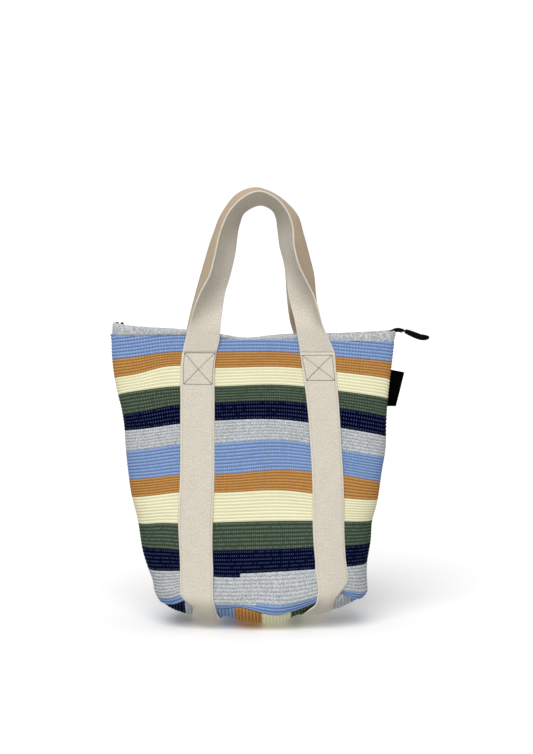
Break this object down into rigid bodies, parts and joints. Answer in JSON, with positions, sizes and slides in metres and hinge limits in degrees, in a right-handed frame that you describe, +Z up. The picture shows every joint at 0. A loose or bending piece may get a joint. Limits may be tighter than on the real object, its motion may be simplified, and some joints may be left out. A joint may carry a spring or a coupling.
{
  "type": "tote bag",
  "caption": "Zip-top tote bag of ribbed striped cotton with a soft boxed base, two webbing loops that run under the base, and a side label.",
  "frame": {"origin": "middle of the base's underside, on the surface the bag stands on", "axes": "+Z up, +X towards the closed end of the zip, -Y the front"},
  "size_m": [0.4408, 0.1718, 0.6129],
  "materials": {
    "striped_cotton": "ribbed woven cotton in blue, orange, cream, green, navy and grey stripes",
    "cotton_webbing": "natural cotton webbing, plain weave",
    "grey_heather": "grey heather cotton",
    "stitching": "grey-brown thread",
    "zip_tape": "black woven polyester tape and coil",
    "black_metal": "black coated die casting",
    "puller_sleeve": "matt black sleeve",
    "label_tape": "plain black woven tape"
  },
  "bodies": {
    "root": {"base_panel": "striped_cotton", "left_side_panel": "striped_cotton", "right_side_panel": "striped_cotton", "top_band": "striped_cotton", "front_top_facing": "grey_heather", "rear_top_facing": "grey_heather", "left_base_strap": "cotton_webbing", "right_base_strap": "cotton_webbing", "left_zip_end": "grey_heather", "right_zip_end": "grey_heather", "zip_tape_ends": "zip_tape", "left_zip_stop": "black_metal"},
    "front_wall": {"front_panel": "striped_cotton", "front_left_strap": "cotton_webbing", "front_right_strap": "cotton_webbing", "front_cross_stitches": "stitching", "front_edge_stitches": "stitching"},
    "rear_wall": {"rear_panel": "striped_cotton", "rear_left_strap": "cotton_webbing", "rear_right_strap": "cotton_webbing", "rear_cross_stitches": "stitching", "rear_edge_stitches": "stitching"},
    "front_handle": {"front_handle": "cotton_webbing"},
    "rear_handle": {"rear_handle": "cotton_webbing"},
    "front_zip_facing": {"front_zip_facing": "grey_heather", "front_zip_tape": "zip_tape", "front_zip_coil": "zip_tape"},
    "rear_zip_facing": {"rear_zip_facing": "grey_heather", "rear_zip_tape": "zip_tape", "rear_zip_coil": "zip_tape"},
    "slider": {"zip_slider": "black_metal"},
    "pull_tab": {"pull_tab": "black_metal"},
    "puller": {"puller_ring": "black_metal", "puller_sleeve": "puller_sleeve"},
    "label": {"side_label": "label_tape"}
  },
  "joints": [
    {"name": "zip_slide", "type": "slide", "parent": "root", "child": "slider", "axis": [-1, 0, 0], "range_m": [0, 0.353], "deforming": ["front_zip_tape", "rear_zip_tape", "front_zip_coil", "rear_zip_coil"]},
    {"name": "front_facing_open", "type": "hinge", "parent": "root", "child": "front_zip_facing", "pos_m": [0, -0.01888, 0.405], "axis": [-1, 0, 0], "range_deg": [0, 78]},
    {"name": "rear_facing_open", "type": "hinge", "parent": "root", "child": "rear_zip_facing", "pos_m": [0, 0.01888, 0.405], "axis": [1, 0, 0], "range_deg": [0, 78]},
    {"name": "pull_tab_swing", "type": "hinge", "parent": "slider", "child": "pull_tab", "pos_m": [0.19, 0, 0.4104], "axis": [0, -1, 0], "range_deg": [0, 151]},
    {"name": "puller_swing", "type": "hinge", "parent": "pull_tab", "child": "puller", "pos_m": [0.208, 0, 0.415], "axis": [0, -1, 0], "range_deg": [-60, 45]},
    {"name": "front_handle_swing", "type": "hinge", "parent": "root", "child": "front_handle", "pos_m": [0.007, -0.0274, 0.383], "axis": [1, 0, 0], "range_deg": [0, 157]},
    {"name": "rear_handle_swing", "type": "hinge", "parent": "root", "child": "rear_handle", "pos_m": [0.007, 0.0274, 0.383], "axis": [-1, 0, 0], "range_deg": [0, 157]},
    {"name": "flat_fold", "type": "hinge", "parent": "root", "child": "front_wall", "pos_m": [0, -0.025, 0.383], "axis": [1, 0, 0], "range_deg": [0, 8]},
    {"name": "rear_wall_fold", "type": "hinge", "parent": "root", "child": "rear_wall", "pos_m": [0, 0.025, 0.383], "axis": [-1, 0, 0], "range_deg": [0, 8]},
    {"name": "label_flap", "type": "hinge", "parent": "root", "child": "label", "pos_m": [0.19126, 0, 0.3335], "axis": [0.1289, 0, 0.9917], "range_deg": [-60, 60]}
  ],
  "couplings": [
    {"joint": "front_facing_open", "follows": "zip_slide", "rad_per_m": 3.8516},
    {"joint": "rear_facing_open", "follows": "zip_slide", "rad_per_m": 3.8516},
    {"joint": "rear_wall_fold", "follows": "flat_fold", "ratio": 1}
  ]
}
